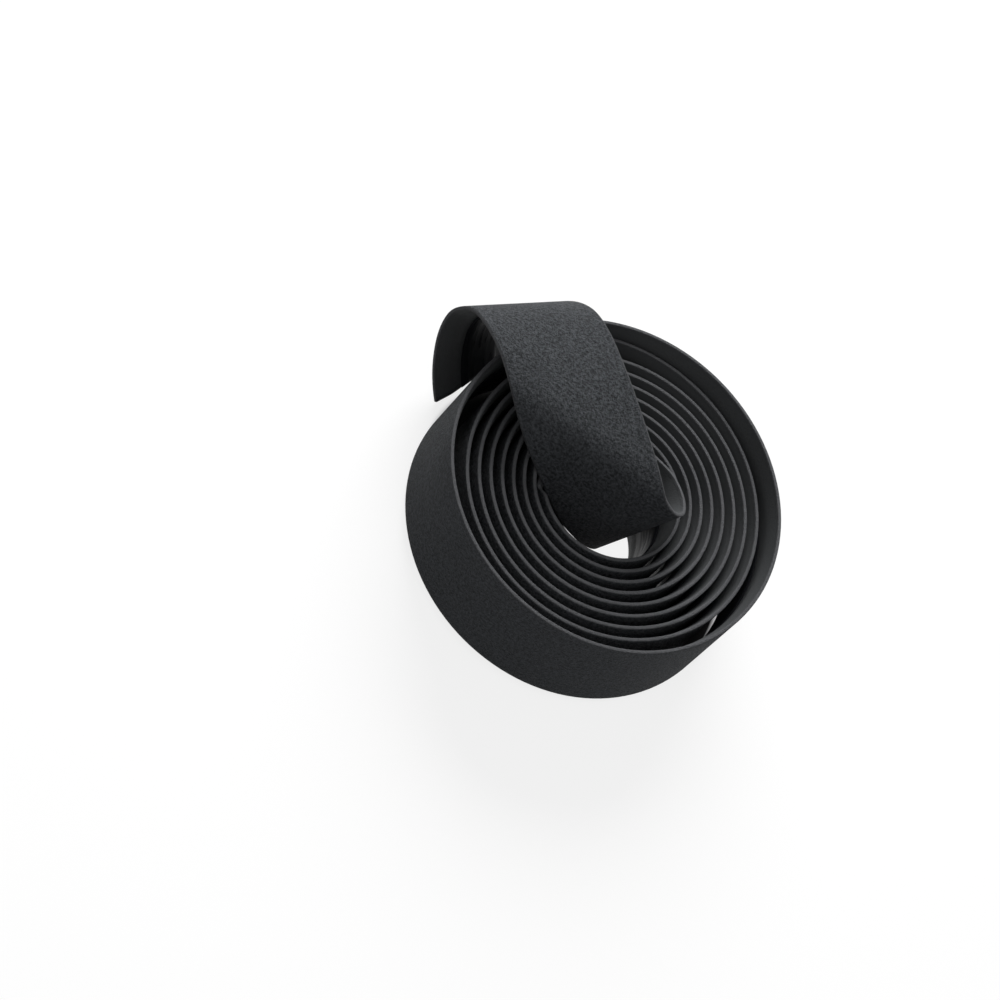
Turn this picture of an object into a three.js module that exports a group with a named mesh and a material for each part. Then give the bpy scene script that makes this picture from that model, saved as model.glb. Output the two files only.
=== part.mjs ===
// A roll of padded handlebar tape lying on its side, with the inner end of the tape pulled up
// out of the middle, laid over the rim and hanging down outside. Millimetres, +Z up.
import * as THREE from 'three';

// The tape itself
const TAPE_WIDTH = 30;
const TAPE_THICKNESS = 2;
const EDGE_THICKNESS = 0.9;
const PAD_WIDTH = 20;
const GRIP_HEIGHT = 0.45;
const EDGE_DROP = 0.1;
const EDGE_EASE = 0.3;

// The release film on the smooth side
const FILM_WIDTH = 14;
const FILM_THICKNESS = 0.1;
const FILM_CLEARANCE = 0.15;

// The winding: a spiral that gets looser outwards
const HOLE_RADIUS = 16;
const INNER_GAP = 0.75;
const OUTER_GAP = 1.2;
const TURN_COUNT = 9;
const END_ANGLE = 137;
const STEP_ANGLE = 10;
const FINE_STEP_ANGLE = 5;
const FINE_TURNS = 0.45;

// The outermost turn stands out and up a little
const OUTER_SLACK = 1.4;
const OUTER_BULGE = 1;
const OUTER_LIFT = 3.4;

// The pulled-out tail
const LEAVE_ANGLE = 156;
const INNER_LIFT = 2.8;
const LIFT_TURNS = 0.17;
const TAIL_LENGTH = 151.2;
const TAIL_STEP = 2.5;

// The end is cut nearly square, its left corner this much further along than the middle
const CUT_SLANT = 1.8;
const CUT_REACH = 25;

// Where the tail bears on the innermost rim, that rim is dented and its turn pressed outwards
const DENT_ANGLE = 218;
const DENT_REACH = 15;
const DENT_DEPTH = 3.4;
const PRESS_ANGLE = 217;
const PRESS_REACH = 80;
const PRESS_DEPTH = 0.6;

// The tail's own edge is drawn out on its way up to that rim
const STRETCH_PLACE = 46;
const STRETCH_REACH = 11;
const STRETCH_DEPTH = 1.2;

// Distance along the tail, bend in degrees per millimetre, and slant of the bend line
const TAIL_SHAPE = [
  [0, 9.8, 0],
  [10, 1.92, 0.49],
  [18, 2.2, 0.47],
  [25, 3.65, 0.15],
  [31, 10.45, 0.47],
  [37, 4.75, 0.49],
  [44, 1.2, 0.24],
  [52, 0.91, -0.19],
  [60, 2.3, -0.64],
  [68, 3.82, -1.09],
  [78, 0.44, -0.96],
  [94, 1.37, -0.1],
  [108, 3.3, -0.16],
  [120, 0.81, 0.16],
  [132, 2.9, 0.52],
  [143, 1.7, 0.42],
  [154, 2.85, 0],
];

const PATH_STEP = 0.5;
const QUARTER = 90;
const TURN = 360;

const radians = THREE.MathUtils.degToRad;
const smooth = THREE.MathUtils.smoothstep;

// Turns are counted outwards from the +Y direction
const innerTurn = (LEAVE_ANGLE - QUARTER) / TURN;
const outerTurn = TURN_COUNT + (END_ANGLE - QUARTER) / TURN;
const innerPitch = TAPE_THICKNESS + INNER_GAP;
const outerPitch = TAPE_THICKNESS + OUTER_GAP;
const lastTurn = outerTurn - 1;
const halfWidth = TAPE_WIDTH / 2;
const halfPad = PAD_WIDTH / 2;

function woundRadius(turn) {
  const growth = (outerPitch - innerPitch) / (2 * TURN_COUNT);
  return HOLE_RADIUS + innerPitch * turn + growth * turn * turn;
}

function slack(turn) {
  return OUTER_SLACK * smooth(turn, lastTurn - 0.33, lastTurn + 0.07)
    + OUTER_BULGE * hump(turn, lastTurn + 0.12, 0.3);
}

// From 1 at a place to 0 at a reach from it
function hump(value, place, reach) {
  return smooth(Math.max(0, 1 - Math.abs(value - place) / reach), 0, 1);
}

function press(turn) {
  const place = (PRESS_ANGLE - QUARTER) / TURN;
  const wraps = Math.max(0, Math.round(turn - place));
  return PRESS_DEPTH * hump(turn, place + wraps, PRESS_REACH / TURN) / 2 ** wraps;
}

function lift(turn) {
  return INNER_LIFT * (1 - smooth(turn, innerTurn, innerTurn + LIFT_TURNS))
    + OUTER_LIFT * smooth(turn, lastTurn - 0.13, lastTurn + 0.27);
}

function woundPoint(turn) {
  const angle = radians(QUARTER + TURN * turn);
  const radius = woundRadius(turn) + slack(turn) + press(turn);
  return new THREE.Vector3(
    radius * Math.cos(angle),
    radius * Math.sin(angle),
    TAPE_WIDTH / 2 + lift(turn),
  );
}

// One place along the tape: its middle, the line across it and the way the grip side faces
function woundFrame(turn) {
  const point = woundPoint(turn);
  const small = 0.0005;
  const along = woundPoint(turn - small).sub(woundPoint(turn + small));
  along.z = 0;
  along.normalize();
  const out = new THREE.Vector3(-along.y, along.x, 0);
  const across = new THREE.Vector3(0, 0, 1);
  const dent = DENT_DEPTH * hump(turn, (DENT_ANGLE - QUARTER) / TURN, DENT_REACH / TURN);
  return { point, along, across, out, dent, stretch: 0 };
}

function windingFrames() {
  const frames = [woundFrame(outerTurn)];
  const step = STEP_ANGLE / TURN;
  const fineStep = FINE_STEP_ANGLE / TURN;
  for (let i = Math.ceil(outerTurn / step - 0.3) - 1; i * step > FINE_TURNS; i -= 1) {
    frames.push(woundFrame(i * step));
  }
  for (let i = Math.floor(FINE_TURNS / fineStep); i * fineStep > innerTurn + 0.3 * step; i -= 1) {
    frames.push(woundFrame(i * fineStep));
  }
  return frames;
}

function shapeAt(distance) {
  const last = TAIL_SHAPE.length - 2;
  let k = 0;
  while (k < last && distance > TAIL_SHAPE[k + 1][0]) {
    k += 1;
  }
  const [from, bend, lean] = TAIL_SHAPE[k];
  const [to, nextBend, nextLean] = TAIL_SHAPE[k + 1];
  const share = (distance - from) / (to - from);
  return {
    bend: THREE.MathUtils.lerp(bend, nextBend, share),
    lean: THREE.MathUtils.lerp(lean, nextLean, share),
  };
}

// How far along the tail, measured by its bend lines, the cut lies at a place across it
function cutPlace(w) {
  let place = TAIL_LENGTH;
  for (let i = 0; i < 30; i += 1) {
    place = TAIL_LENGTH - CUT_SLANT * w / halfWidth - shapeAt(place).lean * w;
  }
  return place;
}

// The tail bends only about lines across it, as a flat strip does
function tailPath() {
  const start = woundFrame(innerTurn);
  const point = start.point.clone();
  const along = start.along.clone();
  const across = start.across.clone();
  const out = start.out.clone();
  const path = [start];
  const count = Math.ceil(cutPlace(-halfWidth) / PATH_STEP);
  const half = new THREE.Vector3();
  for (let i = 0; i < count; i += 1) {
    const { bend, lean } = shapeAt((i + 0.5) * PATH_STEP);
    const line = across.clone().addScaledVector(along, lean);
    const angle = -radians(bend) * line.length() * PATH_STEP;
    line.normalize();
    half.copy(along);
    along.applyAxisAngle(line, angle);
    across.applyAxisAngle(line, angle);
    out.applyAxisAngle(line, angle);
    half.add(along).multiplyScalar(PATH_STEP / 2);
    point.add(half);
    const distance = (i + 1) * PATH_STEP;
    path.push({
      point: point.clone(),
      across: across.clone().addScaledVector(along, shapeAt(distance).lean),
      out: out.clone(),
      dent: 0,
      stretch: STRETCH_DEPTH * hump(distance, STRETCH_PLACE, STRETCH_REACH),
    });
  }
  return path;
}

function corner({ point, across, out, dent, stretch }, [w, n]) {
  let place = w;
  if (w > halfPad) {
    place -= dent;
  } else if (w < -halfPad) {
    place -= stretch;
  }
  return point.clone().addScaledVector(across, place).addScaledVector(out, n);
}

// Rows of section points, each row one step further along the tape
function tapeRows(section) {
  const rows = windingFrames().map((frame) => section.map((spot) => corner(frame, spot)));
  const path = tailPath();
  const count = Math.round(TAIL_LENGTH / TAIL_STEP);
  for (let i = 0; i <= count; i += 1) {
    const distance = TAIL_LENGTH * i / count;
    const near = smooth(distance, TAIL_LENGTH - CUT_REACH, TAIL_LENGTH);
    rows.push(section.map((spot) => {
      const place = distance + near * (cutPlace(spot[0]) - TAIL_LENGTH);
      const spots = place / PATH_STEP;
      const k = Math.min(Math.max(0, Math.floor(spots)), path.length - 2);
      return corner(path[k], spot).lerp(corner(path[k + 1], spot), spots - k);
    }));
  }
  return rows;
}

// Section outlines: place across the tape and height towards the grip side
const padSide = GRIP_HEIGHT - TAPE_THICKNESS;
const edgeSide = GRIP_HEIGHT - EDGE_THICKNESS;
const tapeSection = [
  [halfWidth, edgeSide],
  [halfWidth, GRIP_HEIGHT - EDGE_DROP],
  [halfWidth - EDGE_EASE, GRIP_HEIGHT],
  [EDGE_EASE - halfWidth, GRIP_HEIGHT],
  [-halfWidth, GRIP_HEIGHT - EDGE_DROP],
  [-halfWidth, edgeSide],
  [-halfPad, padSide],
  [halfPad, padSide],
];

const filmTop = padSide - FILM_CLEARANCE;
const filmSection = [
  [FILM_WIDTH / 2, filmTop],
  [-FILM_WIDTH / 2, filmTop],
  [-FILM_WIDTH / 2, filmTop - FILM_THICKNESS],
  [FILM_WIDTH / 2, filmTop - FILM_THICKNESS],
];

function sweep(section) {
  const rows = tapeRows(section);
  const positions = rows.flat().flatMap((spot) => spot.toArray());
  const size = section.length;
  const index = [];
  for (let i = 0; i < rows.length - 1; i += 1) {
    for (let j = 0; j < size; j += 1) {
      const k = (j + 1) % size;
      const a = i * size + j;
      const b = i * size + k;
      const c = a + size;
      const d = b + size;
      index.push(a, d, b, a, c, d);
    }
  }
  const outline = section.map(([w, n]) => new THREE.Vector2(w, n));
  const last = (rows.length - 1) * size;
  for (const [a, b, c] of THREE.ShapeUtils.triangulateShape(outline, [])) {
    index.push(a, b, c);
    index.push(last + a, last + c, last + b);
  }
  const geometry = new THREE.BufferGeometry();
  geometry.setAttribute('position', new THREE.Float32BufferAttribute(positions, 3));
  geometry.setIndex(index);
  geometry.computeVertexNormals();
  return geometry;
}

const gripTape = new THREE.Mesh(
  sweep(tapeSection),
  new THREE.MeshStandardMaterial({ color: 0x1c1d1f, roughness: 0.85, metalness: 0 }),
);
gripTape.name = 'grip_tape';

const backingFilm = new THREE.Mesh(
  sweep(filmSection),
  new THREE.MeshStandardMaterial({ color: 0x101113, roughness: 0.15, metalness: 0 }),
);
backingFilm.name = 'backing_film';

const roll = new THREE.Group();
roll.add(gripTape, backingFilm);

// The roll rests on its lower edges, with the middle of its outline over the origin
const box = new THREE.Box3().setFromObject(roll, true);
const middle = box.getCenter(new THREE.Vector3());
roll.position.set(-middle.x, -middle.y, -box.min.z);

export default roll;
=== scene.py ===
import bpy
import math
from mathutils import Matrix, Vector


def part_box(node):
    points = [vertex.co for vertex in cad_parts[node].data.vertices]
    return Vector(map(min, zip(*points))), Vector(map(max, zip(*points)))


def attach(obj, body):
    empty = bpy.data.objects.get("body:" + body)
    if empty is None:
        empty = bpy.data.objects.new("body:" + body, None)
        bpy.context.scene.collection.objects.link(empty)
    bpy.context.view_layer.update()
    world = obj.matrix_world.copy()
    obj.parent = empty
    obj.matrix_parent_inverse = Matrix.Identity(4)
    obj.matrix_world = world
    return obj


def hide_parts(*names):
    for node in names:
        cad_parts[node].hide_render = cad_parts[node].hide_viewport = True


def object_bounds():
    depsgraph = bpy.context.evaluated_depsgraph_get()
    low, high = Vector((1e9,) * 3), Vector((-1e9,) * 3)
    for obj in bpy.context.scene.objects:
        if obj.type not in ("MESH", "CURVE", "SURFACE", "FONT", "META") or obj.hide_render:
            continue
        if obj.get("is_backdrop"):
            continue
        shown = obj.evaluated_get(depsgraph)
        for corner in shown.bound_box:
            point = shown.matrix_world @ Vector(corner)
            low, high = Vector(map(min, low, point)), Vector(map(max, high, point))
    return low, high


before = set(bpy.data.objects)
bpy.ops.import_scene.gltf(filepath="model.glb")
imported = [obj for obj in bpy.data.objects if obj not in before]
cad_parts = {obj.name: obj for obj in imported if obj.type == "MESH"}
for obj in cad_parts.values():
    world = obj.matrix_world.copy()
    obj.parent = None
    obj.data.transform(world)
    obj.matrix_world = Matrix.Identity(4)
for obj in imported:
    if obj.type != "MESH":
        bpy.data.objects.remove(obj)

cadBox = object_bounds()  # the solids' own box, before anything is dressed
print("frame loaded:", sorted(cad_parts))

# The roll is seen from above its near side, with the camera turned on its side
photoCamera = {
    "tilt": 33.5,  # degrees between the line of sight and the winding's axis
    "roll": 44.0,
    "distance": 1.0,
    "lens": 148.46,
    "aimRight": 0.0270,  # how far right of the middle the roll's face sits, per metre of distance
    "aimUp": 0.0019,
}

# One strip of foam, wound up and then led out over the rim: millimetres, degrees, and turns
# for what ends in Turns. Turns of the outermost part are counted from the start of its last one.
tapeShape = {
    "width": 30.0,
    "thickness": 2.0,
    "edgeThickness": 0.9,
    "padWidth": 20.0,
    "gripFace": 0.45,
    "edgeRound": 0.16,
    "holeRadius": 16.0,
    "innerGap": 0.75,
    "outerGap": 1.2,
    "turns": 9,
    "endAngle": 137.0,
    "leaveAngle": 156.0,
    "outerSlack": 1.4,
    "slackTurns": (-0.33, 0.07),
    "outerBulge": 1.0,
    "bulgeTurns": (0.12, 0.3),  # its middle and its reach
    "outerLift": 3.4,
    "outerLiftTurns": (-0.13, 0.27),
    "innerLift": 2.8,
    "innerLiftTurns": 0.17,
    "tailLength": 151.2,
    "cutSlant": 1.8,
    "cutReach": 25.0,
    "dentAngle": 218.0,
    "dentReach": 15.0,
    "dentDepth": 3.4,
    "pressAngle": 217.0,
    "pressReach": 80.0,
    "pressDepth": 0.6,
    "stretchPlace": 46.0,
    "stretchReach": 11.0,
    "stretchDepth": 1.2,
    "windingStep": 3.0,
    "tailStep": 1.0,
    "pathStep": 0.5,
}
startAngle = 90  # turns are counted outwards from the +Y direction
millimetres = 1000  # in a metre

# Distance along the tail, bend per millimetre, and slant of the bend line
tailRoute = [
    (0, 9.8, 0),
    (10, 1.92, 0.49),
    (18, 2.2, 0.47),
    (25, 3.65, 0.15),
    (31, 10.45, 0.47),
    (37, 4.75, 0.49),
    (44, 1.2, 0.24),
    (52, 0.91, -0.19),
    (60, 2.3, -0.64),
    (68, 3.82, -1.09),
    (78, 0.44, -0.96),
    (94, 1.37, -0.1),
    (108, 3.3, -0.16),
    (120, 0.81, 0.16),
    (132, 2.9, 0.52),
    (143, 1.7, 0.42),
    (154, 2.85, 0),
]

filmShape = {
    "width": 14.0,
    "thickness": 0.1,
    "clearance": 0.15,
}


def smoothStep(value, low, high):
    share = min(1.0, max(0.0, (value - low) / (high - low)))
    return share * share * (3 - 2 * share)


# From 1 at a place to 0 at a reach from it
def hump(value, place, reach):
    return smoothStep(1 - abs(value - place) / reach, 0, 1)


def turnAt(angle):
    return (angle - startAngle) / 360


def firstTurn():
    return turnAt(tapeShape["leaveAngle"])


def lastTurn():
    return tapeShape["turns"] + turnAt(tapeShape["endAngle"])


def woundPoint(turn):
    s = tapeShape
    inner = s["thickness"] + s["innerGap"]
    outer = s["thickness"] + s["outerGap"]
    loose = turn - (lastTurn() - 1)
    radius = s["holeRadius"] + inner * turn + (outer - inner) / (2 * s["turns"]) * turn * turn
    radius += s["outerSlack"] * smoothStep(loose, *s["slackTurns"])
    radius += s["outerBulge"] * hump(loose, *s["bulgeTurns"])
    pressed = turnAt(s["pressAngle"])
    wraps = max(0, round(turn - pressed))
    radius += s["pressDepth"] * hump(turn, pressed + wraps, s["pressReach"] / 360) / 2**wraps
    height = s["width"] / 2
    height += s["innerLift"] * (1 - smoothStep(turn - firstTurn(), 0, s["innerLiftTurns"]))
    height += s["outerLift"] * smoothStep(loose, *s["outerLiftTurns"])
    angle = math.radians(startAngle + 360 * turn)
    return Vector((radius * math.cos(angle), radius * math.sin(angle), height))


def woundPlace(turn):
    s = tapeShape
    small = 0.0005
    along = woundPoint(turn - small) - woundPoint(turn + small)
    along.z = 0
    along.normalize()
    return {
        "point": woundPoint(turn),
        "along": along,
        "across": Vector((0, 0, 1)),
        "out": Vector((-along.y, along.x, 0)),
        "dent": s["dentDepth"] * hump(turn, turnAt(s["dentAngle"]), s["dentReach"] / 360),
        "stretch": 0.0,
    }


def tailAt(distance):
    for here, there in zip(tailRoute, tailRoute[1:]):
        if distance <= there[0]:
            break
    share = (distance - here[0]) / (there[0] - here[0])
    return tuple(here[i] + (there[i] - here[i]) * share for i in (1, 2))


def tailPath():
    s = tapeShape
    place = woundPlace(firstTurn())
    point, along, across, out = (place[k].copy() for k in ("point", "along", "across", "out"))
    step = s["pathStep"]
    path = [place]
    for i in range(math.ceil(cutPlace(-s["width"] / 2) / step) + 1):
        bend, lean = tailAt((i + 0.5) * step)
        line = across + along * lean
        turn = Matrix.Rotation(-math.radians(bend) * line.length * step, 3, line)
        before = along.copy()
        along, across, out = turn @ along, turn @ across, turn @ out
        point = point + (before + along) * (step / 2)
        distance = (i + 1) * step
        path.append({
            "point": point.copy(),
            "across": across + along * tailAt(distance)[1],
            "out": out.copy(),
            "dent": 0.0,
            "stretch": s["stretchDepth"] * hump(distance, s["stretchPlace"], s["stretchReach"]),
        })
    return path


# How far along the tail, measured by its bend lines, the cut lies at a place across it
def cutPlace(w):
    s = tapeShape
    cut = s["tailLength"] - s["cutSlant"] * w / (s["width"] / 2)
    place = cut
    for _ in range(30):  # each round comes closer
        place = cut - tailAt(place)[1] * w
    return place


# The pad keeps its shape: only the strip beside it is dented or stretched
def spotAt(place, w, n):
    half, pad = tapeShape["width"] / 2, tapeShape["padWidth"] / 2
    beside = max(0.0, (abs(w) - pad) / (half - pad))
    w -= beside * place["dent" if w > 0 else "stretch"]
    return place["point"] + place["across"] * w + place["out"] * n


# Rows of section points, one step further along the tape each, with their distance
def tapeRows(section):
    s = tapeShape
    step = s["windingStep"] / 360
    count = int((lastTurn() - firstTurn()) / step)
    turns = [lastTurn() - i * step for i in range(count + 1)]
    if turns[-1] - firstTurn() < 0.4 * step:
        turns.pop()
    rows, distances = [], []
    for turn in turns:
        place = woundPlace(turn)
        rows.append([spotAt(place, w, n) for w, n, *_ in section])
        middle = place["point"]
        distances.append(distances[-1] + (middle - before).length if distances else 0.0)
        before = middle
    path = tailPath()
    start = distances[-1] + (path[0]["point"] - before).length
    length, tailStep = s["tailLength"], s["tailStep"]
    count = round(length / tailStep)
    for i in range(count + 1):
        distance = length * i / count
        near = smoothStep(distance, length - s["cutReach"], length)
        row = []
        for w, n, *_ in section:
            spots = (distance + near * (cutPlace(w) - length)) / s["pathStep"]
            k = min(max(0, math.floor(spots)), len(path) - 2)
            row.append(spotAt(path[k], w, n).lerp(spotAt(path[k + 1], w, n), spots - k))
        rows.append(row)
        distances.append(start + distance)
    return rows, distances


# Section points: place across, height, share of cut edge in the colour, and share of smooth side
def tapeSection():
    s = tapeShape
    half, pad = s["width"] / 2, s["padWidth"] / 2
    face, r = s["gripFace"], s["edgeRound"]
    low, edge = face - s["thickness"], face - s["edgeThickness"]
    right = [
        (half - 2.2, face, 0, 0),
        (half - 1.0, face, 0, 0),
        (half - 2.2 * r, face, 0.1, 0),
        (half - 0.9 * r, face - 0.1 * r, 0.8, 0),
        (half - 0.3 * r, face - 0.35 * r, 1, 0),
        (half, face - r, 1, 0),
        (half, (face + edge) / 2, 1, 0),
        (half, edge + r, 1, 0),
        (half - 0.35 * r, edge + 0.25 * r, 1, 0.3),
        (half - 1.3 * r, edge - 0.15 * r, 0.5, 0.8),
        (half - 0.8, edge - 0.18, 0, 1),
        (half - 2.0, edge - 0.47, 0, 1),
        (half - 3.4, edge - 0.8, 0, 1),
        (pad + 0.7, low + 0.1, 0, 1),
        (pad - 0.5, low, 0, 1),
        (pad - 4, low, 0, 1),
    ]
    middleTop = [(w, face, 0, 0) for w in (-6, -2, 2, 6)]
    middleLow = [(2, low, 0, 1), (-2, low, 0, 1)]
    left = [(-w, n, e, i) for w, n, e, i in reversed(right)]
    return middleTop + right + middleLow + left


def filmSection():
    top = tapeShape["gripFace"] - tapeShape["thickness"] - filmShape["clearance"]
    low = top - filmShape["thickness"]
    half = filmShape["width"] / 2
    spots = [-half, -half * 0.6, -half * 0.2, half * 0.2, half * 0.6, half]
    return [(w, top, 0, 0) for w in spots] + [(w, low, 0, 1) for w in reversed(spots)]


def sweepStrip(name, section):
    rows, distances = tapeRows(section)
    size = len(section)
    points = [spot / millimetres for row in rows for spot in row]
    faces, corners = [], []
    girth = [0.0]
    for a, b in zip(section, section[1:] + section[:1]):
        girth.append(girth[-1] + math.hypot(b[0] - a[0], b[1] - a[1]))
    for i in range(len(rows) - 1):
        for j in range(size):
            k = (j + 1) % size
            a, b = i * size + j, i * size + k
            faces.append((a, b, b + size, a + size))
            here, there = distances[i], distances[i + 1]
            near, far = girth[j], girth[j + 1]
            corners += [(here, near), (here, far), (there, far), (there, near)]
    last = (len(rows) - 1) * size
    for cap in ([*range(size - 1, -1, -1)], [*range(last, last + size)]):
        faces.append(tuple(cap))
        corners += [(section[v % size][1] - 10, section[v % size][0]) for v in cap]
    mesh = bpy.data.meshes.new(name)
    mesh.from_pydata(points, [], faces)
    strip = mesh.uv_layers.new(name="strip")
    strip.uv.foreach_set("vector", [v / millimetres for corner in corners for v in corner])
    for label, place in (("edge", 2), ("inner", 3)):
        layer = mesh.attributes.new(label, "FLOAT", "POINT")
        layer.data.foreach_set("value", [spot[place] for spot in section] * len(rows))
    mesh.shade_smooth()
    mesh.update()
    piece = bpy.data.objects.new(name, mesh)
    bpy.context.scene.collection.objects.link(piece)
    bpy.ops.object.select_all(action="DESELECT")
    bpy.context.view_layer.objects.active = piece
    piece.select_set(True)
    bpy.ops.object.mode_set(mode="EDIT")
    bpy.ops.mesh.select_all(action="SELECT")
    bpy.ops.mesh.normals_make_consistent(inside=False)
    bpy.ops.object.mode_set(mode="OBJECT")
    return piece


def settle(piece, shift):
    piece.data.transform(Matrix.Translation(shift))
    piece.data.update()


class Wire:
    # a shader socket that numbers and other sockets can be added to, taken from and multiplied by
    def __init__(self, tree, socket):
        self.tree = tree
        self.socket = socket

    def maths(self, operation, first, second):
        node = self.tree.nodes.new("ShaderNodeMath")
        node.operation = operation
        for slot, value in zip(node.inputs, (first, second)):
            connect(self.tree, slot, value)
        return Wire(self.tree, node.outputs[0])

    def __add__(self, other):
        return self.maths("ADD", self, other)

    def __radd__(self, other):
        return self.maths("ADD", other, self)

    def __sub__(self, other):
        return self.maths("SUBTRACT", self, other)

    def __rsub__(self, other):
        return self.maths("SUBTRACT", other, self)

    def __mul__(self, other):
        return self.maths("MULTIPLY", self, other)

    def __rmul__(self, other):
        return self.maths("MULTIPLY", other, self)


def connect(tree, slot, value):
    if isinstance(value, Wire):
        tree.links.new(value.socket, slot)
    else:
        slot.default_value = value


class Finish:
    def __init__(self, name):
        self.material = bpy.data.materials.new(name)
        self.material.use_nodes = True
        self.tree = self.material.node_tree
        self.tree.nodes.clear()

    def node(self, kind, settings, sockets, output=0):
        node = self.tree.nodes.new(kind)
        for name, value in settings.items():
            if name == "stops":
                for stop, (place, shade) in zip(node.color_ramp.elements, value):
                    stop.position = place
                    stop.color = (shade, shade, shade, 1)
            else:
                setattr(node, name, value)
        for name, value in sockets.items():
            connect(self.tree, node.inputs[name], value)
        return Wire(self.tree, node.outputs[output])

    # from one shade to another as a value goes from low to high
    def ramp(self, value, low, high, shades=(0.0, 1.0)):
        stops = list(zip((low, high), shades))
        return self.node("ShaderNodeValToRGB", {"stops": stops}, {"Fac": value})

    def attribute(self, name):
        return self.node("ShaderNodeAttribute", {"attribute_name": name}, {}, "Fac")

    def noise(self, where, scale, detail=2.0, roughness=0.5):
        return self.node(
            "ShaderNodeTexNoise",
            {},
            {"Vector": where, "Scale": scale, "Detail": detail, "Roughness": roughness},
            "Fac",
        )

    def blend(self, factor, first, second):
        return self.node(
            "ShaderNodeMix",
            {"data_type": "RGBA"},
            {6: first, 7: second, 0: factor},
            2,
        )

    def output(self, surface):
        end = self.tree.nodes.new("ShaderNodeOutputMaterial")
        self.tree.links.new(surface.socket, end.inputs["Surface"])
        return self.material


foamLook = {
    "gripDark": (0.010, 0.0112, 0.0122, 1),
    "gripLight": (0.078, 0.0825, 0.0900, 1),
    "edge": (0.098, 0.100, 0.105, 1),
    "edgeDark": (0.040, 0.041, 0.044, 1),
    "smooth": (0.040, 0.042, 0.043, 1),
    "smoothLight": (0.074, 0.077, 0.080, 1),
    "grainScale": 1350,
    "fineScale": 3000,
    "broadScale": 38,
    "speckleLow": 0.40,
    "speckleHigh": 0.62,
    "bumpDepth": 0.0008,
    "roughness": 0.70,
    "smootherInside": 0.12,
    "ior": 1.2,
}


def foamFinish():
    look = foamLook
    f = Finish("charcoal_foam")
    where = f.node("ShaderNodeTexCoord", {}, {}, "Object")
    edge = f.attribute("edge")
    inner = f.attribute("inner")
    grain = f.noise(where, look["grainScale"], 3.0, 0.62)
    fine = f.noise(where, look["fineScale"])
    broad = f.noise(where, look["broadScale"], 3.0, 0.55)
    speckle = f.ramp(grain * 0.7 + fine * 0.3, look["speckleLow"], look["speckleHigh"])
    light = speckle * 0.7 + (broad - 0.5) * 0.4 + 0.1
    grip = f.blend(light, look["gripDark"], look["gripLight"])
    smooth = f.blend(broad * 0.6 + fine * 0.3, look["smooth"], look["smoothLight"])
    side = f.blend(inner, grip, smooth)
    rim = f.blend(fine * 0.6 + grain * 0.5, look["edgeDark"], look["edge"])
    colour = f.blend(edge, side, rim)
    onGrip = (1 - inner) * (1 - edge * 0.6)
    height = grain * onGrip + fine * (0.4 * onGrip + 0.12)
    bump = f.node(
        "ShaderNodeBump",
        {},
        {"Strength": 1.0, "Distance": look["bumpDepth"], "Height": height},
    )
    rough = look["roughness"] - inner * look["smootherInside"] + speckle * 0.1
    surface = f.node(
        "ShaderNodeBsdfPrincipled",
        {},
        {
            "Base Color": colour,
            "Roughness": rough,
            "Normal": bump,
            "IOR": look["ior"],
        },
    )
    return f.output(surface)


filmLook = {
    "colour": (0.008, 0.0085, 0.010, 1),
    "faint": (0.018, 0.019, 0.022, 1),
    "streak": 0.12,  # the smaller, the longer the ripples run along the strip
    "rippleScale": 420,
    "creaseScale": 1100,
    "bumpDepth": 0.0003,
    "roughness": 0.36,
    "sheen": 0.18,
    "ior": 1.08,
}


def filmFinish():
    look = filmLook
    f = Finish("glossy_film")
    where = f.node("ShaderNodeUVMap", {"uv_map": "strip"}, {}, "UV")
    stretched = f.node(
        "ShaderNodeMapping",
        {},
        {"Vector": where, "Scale": (look["streak"], 1.0, 1.0)},
        "Vector",
    )
    ripple = f.noise(stretched, look["rippleScale"])
    crease = f.noise(stretched, look["creaseScale"])
    colour = f.blend(crease * ripple, look["colour"], look["faint"])
    bump = f.node(
        "ShaderNodeBump",
        {},
        {"Strength": 0.5, "Distance": look["bumpDepth"], "Height": ripple + crease * 0.5},
    )
    sheen = f.ramp(crease, 0.56, 0.66)
    surface = f.node(
        "ShaderNodeBsdfPrincipled",
        {},
        {
            "Base Color": colour,
            "Roughness": look["roughness"] - sheen * look["sheen"],
            "Normal": bump,
            "IOR": look["ior"],
        },
    )
    return f.output(surface)


tape = sweepStrip("foam_tape", tapeSection())
film = sweepStrip("release_film", filmSection())
print("strip swept:", len(tape.data.polygons), "faces")

# The same resting place as the solids: middle of the outline over the origin
shift = Vector((0.007548, -0.000759, 0.0))
spots = [v.co for v in tape.data.vertices]
low, high = (Vector(pick(v[i] for v in spots) for i in range(3)) for pick in (min, max))
nodeLow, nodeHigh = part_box("grip_tape")
missed = (nodeLow + nodeHigh) / 2 - (low + high) / 2 - shift
print("middle is off by", [round(millimetres * v, 3) for v in missed])
settle(tape, shift)
settle(film, shift)

tape.data.materials.append(foamFinish())
film.data.materials.append(filmFinish())
for piece, node, slotName in ((tape, "grip_tape", "foam"), (film, "backing_film", "film")):
    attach(piece, "root")
    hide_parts(node)
print("pieces dressed")

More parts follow.
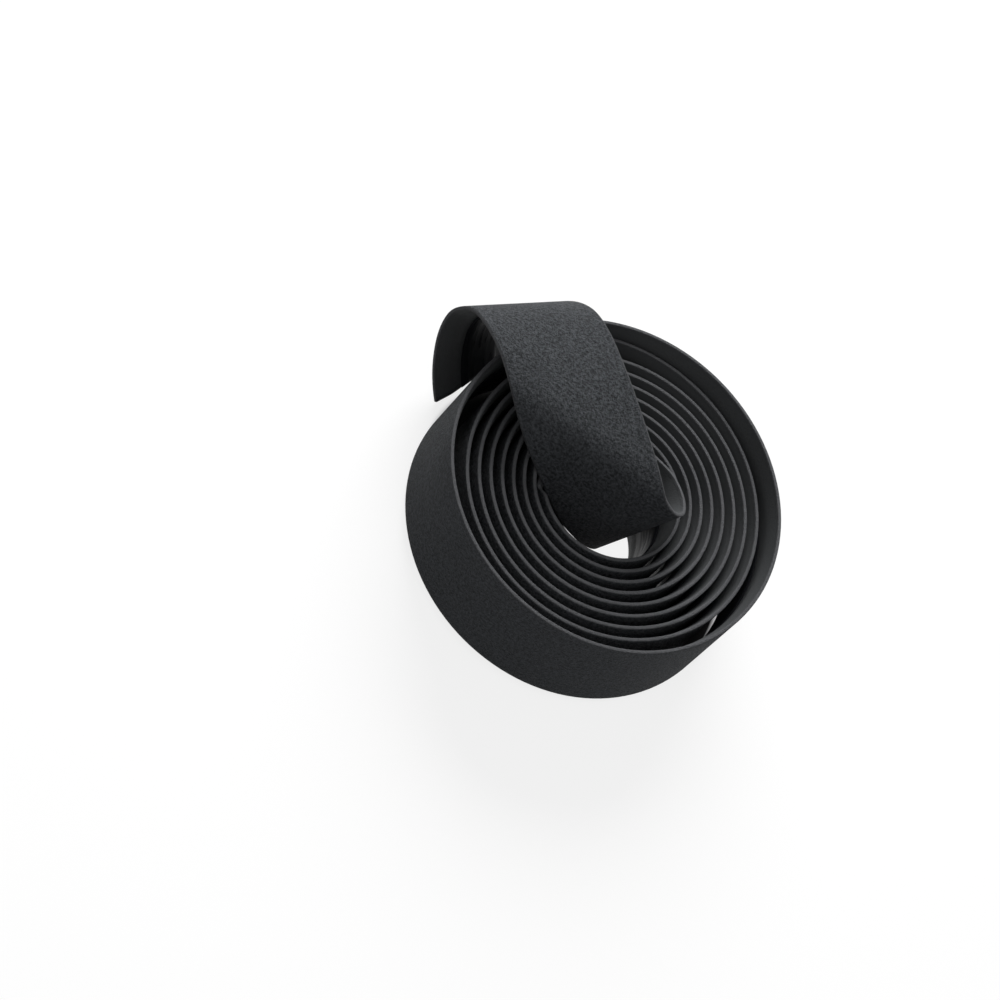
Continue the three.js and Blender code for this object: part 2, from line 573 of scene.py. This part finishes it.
studio = {
    "floorColour": (0.93, 0.93, 0.93, 1),
    "floorBounce": (0.3, 0.3, 0.3, 1),  # how pale the floor is to the light that it throws back
    "floorGlow": 0.80,
    "paintedFloorShade": (0.03, 0.03, 0.03, 1),  # painted shade under the roll: within both of two rounds the floor's colour is this dark and its glow is left out
    "shadeMiddle": (0.0075, 0.0112, 0.0),  # of the second round of painted shade, the first is the roll's own
    "shadeReach": (0.043, 0.045),
    "farShadeReach": (0.043, 0.046),
    "holeGlow": 0.88,
    "holeMiddle": (0.0200, 0.0020, 0.0),  # of the painted lit spot of floor that shows through the hole
    "holeReach": (0.0120, 0.0148),
    "worldLight": 0.18,
    "lamps": {  # power, size, and where it stands, seen from the roll
        "backSoftbox": (17.0, 0.8, (-0.45, 0.70, 0.55)),
        "topSoftbox": (3.0, 1.0, (0.1, -0.45, 0.9)),
    },
    "lampDistance": 1.0,
    "floorRadius": 8,
}
whiteRays = ("Is Camera Ray", "Is Glossy Ray", "Is Transmission Ray")


def buildCamera():
    c = photoCamera
    tilt = Matrix.Rotation(math.radians(c["tilt"]), 3, "X")
    turn = tilt @ Matrix.Rotation(math.radians(c["roll"]), 3, "Z")
    right, up, back = turn.col
    face = shift + Vector((0, 0, tapeShape["width"] / millimetres))
    spot = face + (back - right * c["aimRight"] - up * c["aimUp"]) * c["distance"]
    data = bpy.data.cameras.new("photoCamera")
    data.lens = c["lens"]
    data.sensor_width = 36
    data.clip_start, data.clip_end = 0.01, 100
    camera = bpy.data.objects.new("photoCamera", data)
    camera.matrix_world = Matrix.Translation(spot) @ turn.to_4x4()
    bpy.context.scene.collection.objects.link(camera)
    bpy.context.scene.camera = camera


def buildLamp(name, power, size, direction):
    data = bpy.data.lights.new(name, "AREA")
    data.energy = power
    data.shape = "DISK"
    data.size = size
    lamp = bpy.data.objects.new(name, data)
    place = Vector(direction).normalized() * studio["lampDistance"]
    turn = place.to_track_quat("Z", "Y").to_matrix().to_4x4()
    lamp.matrix_world = Matrix.Translation(place) @ turn
    bpy.context.scene.collection.objects.link(lamp)


def buildFloor():
    s = studio
    bpy.ops.object.select_all(action="DESELECT")
    bpy.ops.mesh.primitive_circle_add(vertices=96, radius=s["floorRadius"], fill_type="NGON")
    floor = bpy.context.active_object
    floor.name = "floor"
    f = Finish("pale_floor")
    seen, mirrored, passed = (f.node("ShaderNodeLightPath", {}, {}, name) for name in whiteRays)
    where = f.node("ShaderNodeTexCoord", {}, {}, "Object")

    # a ramp has its ends between 0 and 1, so distances are taken in tenths of a metre
    def reach(middle, reaches, shades):
        settings, sockets = {"operation": "DISTANCE"}, {0: where, 1: middle}
        away = f.node("ShaderNodeVectorMath", settings, sockets, "Value")
        return f.ramp(away * 10, reaches[0] * 10, reaches[1] * 10, shades)

    # Painted shade: within both rounds, under the roll, the floor is painted dark and does not
    # glow
    beside = reach(shift, s["shadeReach"], (0.0, 1.0))
    behind = reach(s["shadeMiddle"], s["farShadeReach"], (0.0, 1.0))
    # Painted lit spot: inside the painted shade, the floor seen through the hole keeps its pale
    # colour and glows
    through = reach(s["holeMiddle"], s["holeReach"], (1.0, 0.0))
    around = 1 - (1 - beside) * (1 - behind)
    clear = around * s["floorGlow"] + through * s["holeGlow"]
    colour = f.blend(around + through, s["paintedFloorShade"], s["floorColour"])
    paint = f.node("ShaderNodeBsdfDiffuse", {}, {"Color": colour})
    glow = f.node("ShaderNodeEmission", {}, {"Color": (1, 1, 1, 1), "Strength": 1.0})
    bounce = f.node("ShaderNodeBsdfDiffuse", {}, {"Color": s["floorBounce"]})
    pale = f.node("ShaderNodeMixShader", {}, {0: clear, 1: paint, 2: glow})
    whole = {0: seen + mirrored + passed, 1: bounce, 2: pale}
    floor.data.materials.append(f.output(f.node("ShaderNodeMixShader", {}, whole)))
    floor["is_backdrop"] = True


def buildWorld():
    world = bpy.data.worlds.new("studio")
    bpy.context.scene.world = world
    world.use_nodes = True
    tree = world.node_tree
    tree.nodes.clear()
    path = tree.nodes.new("ShaderNodeLightPath")
    seen, mirrored, passed = (Wire(tree, path.outputs[name]) for name in whiteRays)
    background = tree.nodes.new("ShaderNodeBackground")
    light = studio["worldLight"]
    connect(tree, background.inputs["Color"], (1, 1, 1, 1))
    strength = (seen + mirrored + passed) * (1 - light) + light
    connect(tree, background.inputs["Strength"], strength)
    end = tree.nodes.new("ShaderNodeOutputWorld")
    tree.links.new(background.outputs[0], end.inputs["Surface"])


buildCamera()
for name, lamp in studio["lamps"].items():
    buildLamp(name, *lamp)
buildFloor()
buildWorld()
bpy.context.scene.view_settings.view_transform = "Standard"
print("studio ready")

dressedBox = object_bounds()
pairs = [pair for one, two in zip(cadBox, dressedBox) for pair in zip(one, two)]
print("box differs by", [round(millimetres * (a - b), 2) for a, b in pairs])
